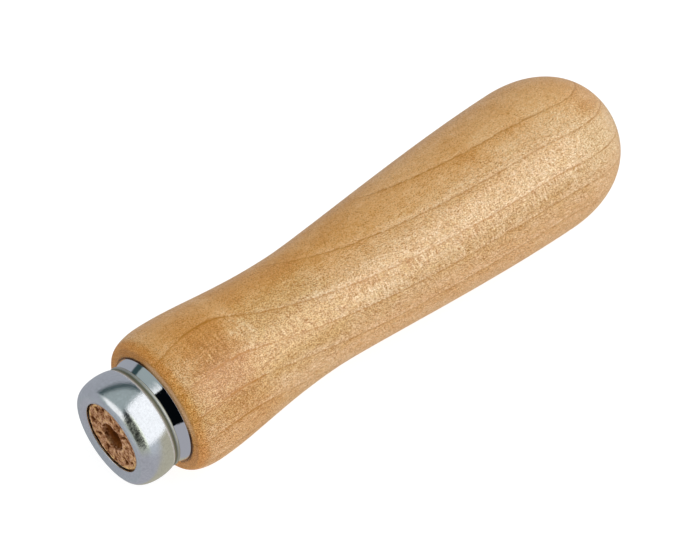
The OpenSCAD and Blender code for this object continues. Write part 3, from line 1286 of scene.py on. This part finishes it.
@dataclass
class Grip:
    """Turned maple grip with its tenon, its torn end grain and the tang bore.

    The main sizes are those of the solids. The end face bulges by swell inside the
    moat, where it falls away under the cap's lip, and clock_up turns the pits.
    """

    sleeve: FerruleSleeve
    length: float = 127.0
    bulge_diameter: float = 29.8
    waist_diameter: float = 25.5
    butt_diameter: float = 31.9
    bulge_at: float = 5.8
    waist_at: float = 36.7
    butt_length: float = 19.3
    shoulder_diameter: float = 26.2
    shoulder_round: float = 0.8
    bore: float = 6.0
    bore_depth: float = 60.0
    drill_point: float = 118.0
    tenon_chamfer: float = 1.3
    face_edge: float = 7.7
    face_steps: int = 62
    swell: float = 0.2
    moat: float = 0.7
    moat_start: float = 7.42
    mouth_lip: float = 0.07
    mouth_ragged: float = 0.10
    mouth_sunk: float = 0.12
    nick: float = 0.12
    clock_up: float = 32.3
    pits: Sequence[Pit] = field(
        default_factory=lambda: (
            Pit(-10, 5.0, 1.5, 1.2, 0.25),
            Pit(17, 5.1, 1.9, 0.45),
            Pit(-57, 6.4, 1.0, 0.6),
            Pit(-81, 6.1, 1.2, 1.0),
            Pit(-121, 5.7, 1.5, 0.9),
            Pit(-157, 5.4, 2.0, 0.5),
            Pit(170, 4.9, 1.9, 0.9),
            Pit(143, 6.3, 0.9, 0.5),
            Pit(102, 5.2, 1.3, 0.8),
            Pit(80, 6.4, 0.8, 0.5),
            Pit(53, 3.9, 0.5, 0.4),
            Pit(-35, 5.2, 0.8, 0.4, 0.2),
        )
    )

    @property
    def swells(self) -> tuple[np.ndarray, np.ndarray]:
        """Widest points of the front swell and of the butt, as (x, radius)."""
        bulge_x = self.sleeve.shoulder_x + self.bulge_at
        butt_x = self.sleeve.cap.nose_x + self.length - self.butt_length
        return np.array([bulge_x, self.bulge_diameter / 2]), np.array([butt_x, self.butt_diameter / 2])

    def body(self) -> Outline:
        """Outer surface behind the shoulder: front swell, waist, rear swell and butt dome.

        Returns:
            The outline.
        """
        shoulder = np.array([self.sleeve.shoulder_x, self.shoulder_diameter / 2])
        waist = np.array([shoulder[0] + self.waist_at, self.waist_diameter / 2])
        end = np.array([self.sleeve.cap.nose_x + self.length, 0.0])
        bulge, butt = self.swells
        swell = bezier(
            shoulder, shoulder + (0, self.shoulder_round), bulge - (0.6 * self.bulge_at, 0), bulge, 20
        )
        front = level_curve(bulge, waist, 0.29, 0.45, 28)
        rear = level_curve(waist, butt, 0.15, 0.38, 36)
        dome = bezier(butt, butt + (0.52 * self.butt_length, 0), end + (0, 0.7 * butt[1]), end, 40)
        return joined(swell, front, rear, dome)

    def tenon(self) -> Outline:
        """Surface of the tenon, which fits the sleeve.

        Returns:
            The outline, from the edge of the end face to the shoulder.
        """
        under = self.sleeve.surface(self.sleeve.sheet + self.sleeve.fit_gap)
        tenon_r = self.sleeve.radius - self.sleeve.sheet - self.sleeve.fit_gap
        root = (self.sleeve.shoulder_x, under[-1][1])
        front = (0.7, tenon_r - self.tenon_chamfer)
        return np.vstack([front, (self.tenon_chamfer, tenon_r), under, root])

    def bore_wall(self) -> Outline:
        """Wall of the tang bore, with fine steps where its mouth is ragged.

        Returns:
            The outline, from the drill point's tip to the mouth.
        """
        bore_r = self.bore / 2
        tip = self.bore_depth + bore_r / math.tan(math.radians(self.drill_point / 2))
        deep = np.array([(tip, 0.0), (self.bore_depth, bore_r), (20.0, bore_r), (6.0, bore_r)])
        mouth = np.stack([np.linspace(5.5, 0.12, 24), np.full(24, bore_r)], 1)
        return np.vstack([deep, mouth])

    def outline(self) -> Outline:
        """Whole outline: bore, end face, tenon and body.

        Returns:
            The outline, from the tip of the bore round to the end of the butt.
        """
        face_r = np.linspace(self.bore / 2 + 0.1, self.face_edge, self.face_steps)
        face = np.stack([np.zeros_like(face_r), face_r], 1)
        return np.vstack([self.bore_wall(), face, self.tenon(), self.body()])

    def build(self) -> bpy.types.Object:
        """Makes the grip, with torn end grain, a ragged bore mouth and a nicked shoulder.

        The bore's mouth and the shoulder's edge are pushed in and out by noise round the
        axis, which fades with exp(-(distance / reach)^2) away from them.

        Returns:
            The grip.
        """
        turned = TurnedMesh("grip_wood", self.outline(), ring=False)
        x, radius, angle = turned.points()
        on_face = (x < 0.001) & (radius < self.face_edge + 0.1)
        rise, hollow = self._torn_face(radius, angle)
        in_mouth = np.exp(-((x / 1.2) ** 2)) * (radius < self.bore / 2 + 0.05)
        ragged = round_noise(angle, x, self.bore / 2, 0.7, 5.0)
        at_edge = np.exp(-(((x - self.sleeve.shoulder_x) / 0.25) ** 2))
        at_edge = at_edge * (abs(radius - self.shoulder_diameter / 2) < 0.3)
        nicks = np.clip(round_noise(angle, x, 13.0, 0.6, 9.0), 0, 1)
        x = x - on_face * rise - in_mouth * (x < 0.4) * self.mouth_sunk
        radius = radius + in_mouth * self.mouth_ragged * ragged - at_edge * self.nick * nicks
        made = turned.build(x, radius, angle)
        self._keep_hollow(made, on_face * hollow)
        return made

    def _torn_face(self, radius: np.ndarray, angle: np.ndarray) -> tuple[np.ndarray, np.ndarray]:
        """Shapes the end face: swollen, torn, lipped at the bore and sunk at its edge.

        Args:
            radius: radius at each point.
            angle: angle at each point.

        Returns:
            How far each point stands out, and how deep the pits are there.
        """
        inside = np.clip((self.moat_start - radius) / 0.3, 0, 1)
        moat = np.clip((radius - self.moat_start) / 0.2, 0, 1)
        across, up = radius * np.sin(angle), radius * np.cos(angle)
        lumps = lattice_noise(across / 0.9, up / 0.9, 1.0)
        coarse = lattice_noise(across / 0.4, up / 0.4, 4.0)
        fine = lattice_noise(across / 0.2, up / 0.2, 2.0)
        fuzz = coarse * 0.6 + fine * 0.4
        hollow = self._hollow(radius, angle, 0.6 * lumps + fuzz)
        lip = np.exp(-(((radius - self.bore / 2 - 0.25) / 0.25) ** 2)) * (1 + fuzz)
        rise = inside * (self.swell + 0.08 * lumps + 0.06 * fuzz) - hollow - self.moat * moat
        return rise + self.mouth_lip * lip, hollow

    def _hollow(self, radius: np.ndarray, angle: np.ndarray, fuzz: np.ndarray) -> np.ndarray:
        """Tears the pits: each is its depth / (1 + (u^2 + v^2 + noise)^3).

        u lies along the radius and v across it, as shares of half its length and width.

        Args:
            radius: radius at each point.
            angle: angle at each point.
            fuzz: noise that bends the pits' edges.

        Returns:
            How deep the deepest pit is at each point.
        """
        depth = np.zeros_like(radius)
        for pit in self.pits:
            turn = angle - math.radians(pit.clock + self.clock_up)
            along = (radius * np.cos(turn) - pit.radius) / (pit.length / 2)
            beside = radius * np.sin(turn) / (pit.width / 2)
            reach = along**2 + beside**2 + 0.7 * fuzz
            depth = np.maximum(depth, pit.depth / (1.0 + np.clip(reach, 0, None) ** 3))
        return np.where(depth > 0.02, depth, 0.0)

    @staticmethod
    def _keep_hollow(made: bpy.types.Object, hollow: np.ndarray) -> None:
        """Stores how deep each point lies, from 0 to 1, for the bare wood's colour.

        Args:
            made: the grip.
            hollow: depth of the pits at each point of the grid.
        """
        inner = hollow[1:-1].reshape(-1)
        values = np.concatenate([inner, [0.0, 0.0]]) / DEEPEST
        layer = made.data.attributes.new(HOLLOW, "FLOAT", "POINT")
        layer.data.foreach_set("value", values.astype(np.float32))


# --------------------------------------------------------------------------
# Studio
# --------------------------------------------------------------------------


@dataclass
class Studio:
    """Camera, pale floor and the soft studio round the handle.

    Angles are in degrees. The greys are those of the tent's panels, which the metal
    mirrors, and up_tilt turns the tent about the handle to face the camera.
    """

    azimuth: float = -40.69
    elevation: float = 50.13
    distance: float = 724.7
    aim: tuple = (59.1, 0.03, 0.07)
    lens: float = 190.2
    sensor: float = 36.0
    up_tilt: float = 32.3
    floor_gap: float = 0.05
    floor_centre: float = 60.0
    floor_reach: float = 4000.0
    floor_sides: int = 96

    near_grey: tuple = (0.38, 0.385, 0.43)
    far_grey: tuple = (0.33, 0.39, 0.40)
    beyond_grey: tuple = (0.355, 0.375, 0.42)
    right_grey: tuple = (0.50, 0.54, 0.59)
    low_grey: tuple = (0.42, 0.46, 0.50)
    cream: tuple = (0.44, 0.42, 0.33)
    post_dark: tuple = (0.035, 0.065, 0.07)
    black: tuple = (0.0012, 0.0020, 0.0030)
    low_white: tuple = (1.0, 1.02, 1.04)
    white: tuple = (1.10, 1.13, 1.17)
    paper: tuple = (1.0, 1.0, 1.0)

    def build_camera(self) -> None:
        """Places the camera by its azimuth, elevation and distance from the aim point."""
        azimuth, elevation = math.radians(self.azimuth), math.radians(self.elevation)
        back = Vector(
            (
                math.sin(azimuth) * math.cos(elevation),
                -math.cos(azimuth) * math.cos(elevation),
                math.sin(elevation),
            )
        )
        right = Vector((math.cos(azimuth), math.sin(azimuth), 0.0))
        up = back.cross(right)
        place = (Vector(self.aim) + back * self.distance) * MM
        data = bpy.data.cameras.new("camera")
        data.lens, data.sensor_width = self.lens, self.sensor
        data.clip_start, data.clip_end = 0.01, 20.0
        camera = bpy.data.objects.new("camera", data)
        rows = Matrix((right, up, back)).transposed().to_4x4()
        camera.matrix_world = Matrix.Translation(place) @ rows
        bpy.context.scene.collection.objects.link(camera)
        bpy.context.scene.camera = camera

    def build_floor(self, grip: Grip) -> None:
        """Lays a round pale floor on which both swells of the handle rest.

        Args:
            grip: the grip, which gives the floor its height and its slope.
        """
        front, rear = grip.swells
        slope = (front[1] - rear[1]) / (rear[0] - front[0])
        angle = np.arange(self.floor_sides) * (2 * math.pi / self.floor_sides)
        x = np.cos(angle) * self.floor_reach + self.floor_centre
        y = np.sin(angle) * self.floor_reach
        height = slope * (x - front[0]) - front[1] - self.floor_gap
        corners = np.stack([x, y, height], 1) * MM
        mesh = bpy.data.meshes.new("floor")
        mesh.from_pydata(corners.tolist(), [], [list(range(self.floor_sides))])
        floor = bpy.data.objects.new("floor", mesh)
        bpy.context.scene.collection.objects.link(floor)
        material = bpy.data.materials.new("floor_paper")
        material.use_nodes = True
        tree = Tree(material.node_tree)
        surface = tree.node(
            "ShaderNodeBsdfPrincipled",
            None,
            {
                "Base Color": (0.25, 0.25, 0.25),
                "Roughness": 0.9,
                "Emission Color": self.paper,
                "Emission Strength": 0.9,
            },
            "BSDF",
        )
        tree.node("ShaderNodeOutputMaterial", None, {"Surface": surface})
        mesh.materials.append(material)
        floor.visible_glossy = False

    def build_world(self) -> None:
        """Surrounds the handle with a soft white tent.

        A direction is taken apart along the handle (along), towards the camera's side
        (over) and square to both (side). Each panel of the tent is a region cut out of
        these by planes, with soft edges, and has its own grey. Later panels hang in
        front of earlier ones. The camera itself sees white paper.
        """
        world = bpy.data.worlds.new("studio")
        bpy.context.scene.world = world
        world.use_nodes = True
        tree = Tree(world.node_tree)
        sight = tree.node("ShaderNodeTexCoord", None, None, "Generated")
        tilt = math.radians(self.up_tilt)
        along = tree.dot(sight, (1.0, 0.0, 0.0))
        over = tree.dot(sight, (0.0, -math.sin(tilt), math.cos(tilt)))
        side = tree.dot(sight, (0.0, -math.cos(tilt), -math.sin(tilt)))

        left_of = along * 0.35 + over * 0.59 + side
        right_of = over * 1.28 - side
        slanted = over - along * 0.42 - 0.04
        far = side.step(0.15, -0.15)
        cream_edge = (along - over * 0.2 - 0.28).step(-0.08, 0.08)
        tent = left_of.step(-0.03, 0.03) * right_of.step(-0.03, 0.03)
        opening = left_of.step(-0.12, -0.06) * right_of.step(-0.07, -0.01)
        panels = (
            (far, self.far_grey),
            (slanted.step(0.0, -0.02) * far, self.beyond_grey),
            (side.step(0.55, 0.8) * over.step(0.0, 0.55) * along.step(-0.3, 0.0), self.right_grey),
            (cream_edge * side.step(0.0, 0.3), self.cream),
            (slanted.band(-0.17, 0.12, 0.05) * far * along.step(-0.42, -0.36), self.post_dark),
            (along.step(-0.42, -0.48) * side.step(0.25, 0.0) * over.step(-0.15, 0.1), self.low_white),
            (tent * along.step(-0.16, -0.12), self.white),
            (opening * along.step(-0.12, -0.16), self.black),
            (along.step(-0.86, -0.90), self.low_grey),
            (along.step(0.86, 0.95), self.white),
        )
        shade: Any = self.near_grey
        for region, grey in panels:
            shade = tree.mix(region, shade, grey)

        studio = tree.node("ShaderNodeBackground", None, {"Color": shade, "Strength": 1.0})
        paper = tree.node("ShaderNodeBackground", None, {"Color": self.paper, "Strength": 1.0})
        to_camera = tree.node("ShaderNodeLightPath", None, None, "Is Camera Ray")
        mixed = tree.node("ShaderNodeMixShader", None, {0: to_camera, 1: studio, 2: paper})
        tree.node("ShaderNodeOutputWorld", None, {"Surface": mixed})

    def build_lights(self) -> None:
        """Adds the broad light that lifts the wood and doesn't show in the bright metal."""
        self._panel("top_panel", (59.0, -126.0, 505.0), 420.0, 0.69)

    def add_gloss(self, wood: bpy.types.Object) -> None:
        """Adds the broad highlight of the lacquer, which the metal doesn't see.

        Args:
            wood: the grip.
        """
        light = self._panel("gloss_panel", (264.0, -458.0, 329.0), 520.0, 3.4, gloss=True)
        seen_by = bpy.data.collections.new("lacquered")
        seen_by.objects.link(wood)
        light.light_linking.receiver_collection = seen_by

    def _panel(
        self, name: str, place: Sequence[float], size: float, power: float, gloss: bool = False
    ) -> bpy.types.Object:
        """Hangs a square light aimed at the handle.

        Args:
            name: the light's name.
            place: where it hangs, in millimetres.
            size: its side, in millimetres.
            power: its power in watts.
            gloss: True where it only makes highlights, False where it makes none.

        Returns:
            The light.
        """
        data = bpy.data.lights.new(name, "AREA")
        data.shape, data.size, data.energy = "SQUARE", size * MM, power
        light = bpy.data.objects.new(name, data)
        place = Vector(place) * MM
        turn = (Vector(self.aim) * MM - place).to_track_quat("-Z", "Y")
        light.matrix_world = Matrix.Translation(place) @ turn.to_matrix().to_4x4()
        light.visible_glossy, light.visible_diffuse = gloss, not gloss
        light.visible_camera = False
        bpy.context.scene.collection.objects.link(light)
        return light


# --------------------------------------------------------------------------
# Handle
# --------------------------------------------------------------------------


def dress(piece: bpy.types.Object, material: bpy.types.Material, slot: Slot, node: str) -> None:
    """Gives a piece its finish and its body, and hides the solid that it replaces.

    Args:
        piece: the piece.
        material: its finish.
        slot: the record's slot for that finish; not used.
        node: the solid that the piece replaces.
    """
    piece.data.materials.append(material)
    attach(piece, BODY)
    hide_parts(node)
    log.info("%s: %d faces, finish %s", piece.name, len(piece.data.polygons), material.name)


def main() -> None:
    """Builds the studio, then each sub-assembly in order."""
    logging.basicConfig(level=logging.INFO, format="%(name)s: %(message)s")
    bpy.context.scene.view_settings.view_transform = "Standard"
    cap = FerruleCap()
    sleeve = FerruleSleeve(cap)
    grip = Grip(sleeve)
    studio = Studio()
    studio.build_camera()
    studio.build_floor(grip)
    studio.build_world()
    studio.build_lights()
    wood = grip.build()
    studio.add_gloss(wood)
    dress(wood, Maple().build(), Slot.MAPLE, "grip")
    dress(sleeve.build(), BrightPlate().build(), Slot.BRIGHT_PLATE, "ferrule_sleeve")
    dress(cap.build(), SatinZinc().build(), Slot.SATIN_ZINC, "ferrule_cap")


if __name__ == "__main__":
    main()
